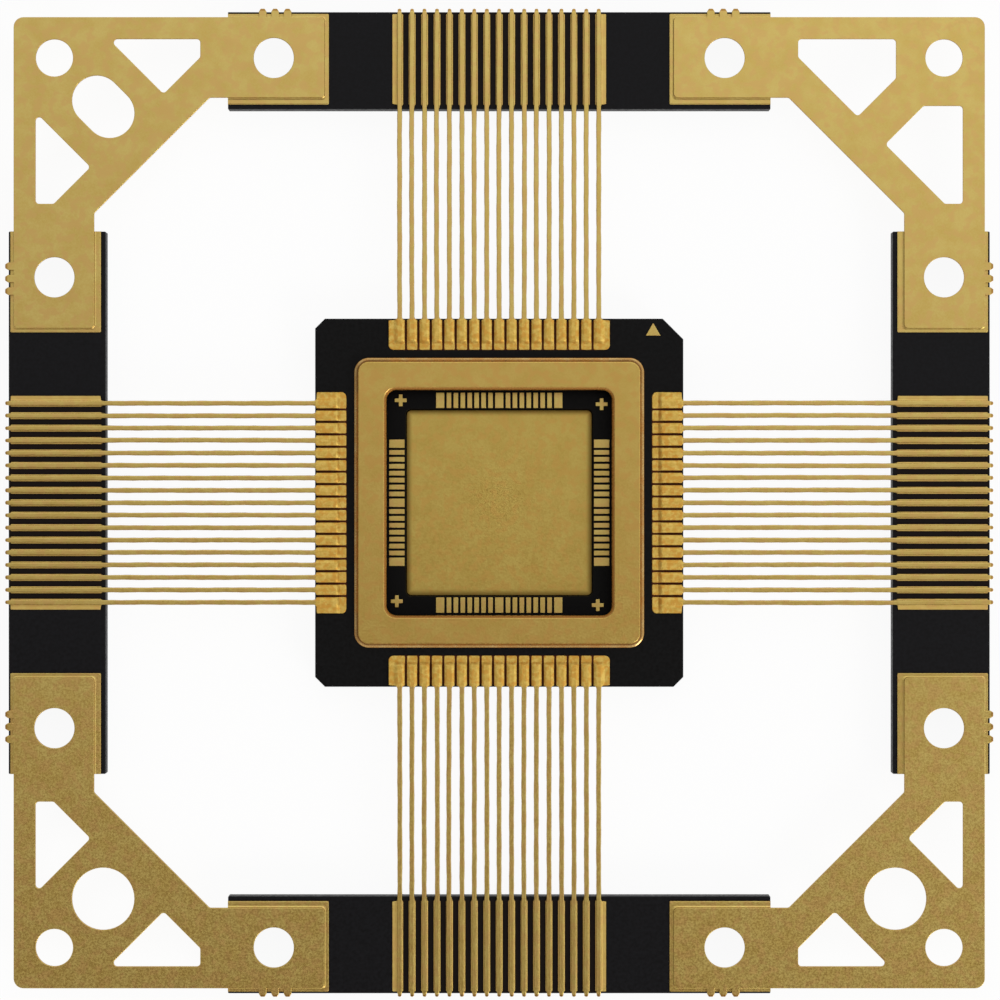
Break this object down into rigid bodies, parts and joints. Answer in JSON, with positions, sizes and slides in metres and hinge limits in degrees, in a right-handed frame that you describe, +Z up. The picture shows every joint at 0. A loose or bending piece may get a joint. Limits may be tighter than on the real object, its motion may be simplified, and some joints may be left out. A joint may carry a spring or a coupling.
{
  "type": "ceramic quad flat package in its tie bar frame",
  "caption": "Open square black ceramic chip package with a gold seal ring and cavity, flat leads on every side, held by black tie bars and gold corner frames.",
  "frame": {"origin": "centre of the underside of the ceramic body, on the surface it rests on", "axes": "+Z up out of the open cavity, through the seal ring; +X east and +Y north along the rows of leads; the pin 1 corner, with the larger chamfer and the triangle, is northeast (+X +Y)"},
  "size_m": [0.0504, 0.0504, 0.0023],
  "materials": {
    "black_ceramic": "fired, unglazed black alumina, dull with a faint sheen",
    "cavity_gold": "matt gold plating over printed tungsten",
    "plated_print": "gold plating over printed tungsten and braze, slightly lumpy",
    "gold_braze": "gold-plated braze fillet, glossy and brown in its shadows",
    "ring_gold": "satin gold plating over nickel-iron alloy",
    "sheet_gold": "satin gold plating over an etched nickel-iron sheet"
  },
  "bodies": {
    "root": {"ceramic_body": "black_ceramic", "tie_bar_north": "black_ceramic", "tie_bar_east": "black_ceramic", "tie_bar_south": "black_ceramic", "tie_bar_west": "black_ceramic", "die_attach_pad": "cavity_gold", "alignment_crosses": "cavity_gold", "bond_fingers_north": "cavity_gold", "bond_fingers_east": "cavity_gold", "bond_fingers_south": "cavity_gold", "bond_fingers_west": "cavity_gold", "pin_one_mark": "plated_print", "body_pads_north": "plated_print", "body_pads_east": "plated_print", "body_pads_south": "plated_print", "body_pads_west": "plated_print", "bar_pads_north": "plated_print", "bar_pads_east": "plated_print", "bar_pads_south": "plated_print", "bar_pads_west": "plated_print", "frame_lands_north": "plated_print", "frame_lands_east": "plated_print", "frame_lands_south": "plated_print", "frame_lands_west": "plated_print", "seal_ring_braze": "gold_braze", "seal_ring": "ring_gold", "leads_north": "sheet_gold", "leads_east": "sheet_gold", "leads_south": "sheet_gold", "leads_west": "sheet_gold", "corner_frame_northeast": "sheet_gold", "corner_frame_northwest": "sheet_gold", "corner_frame_southwest": "sheet_gold", "corner_frame_southeast": "sheet_gold"}
  },
  "joints": []
}
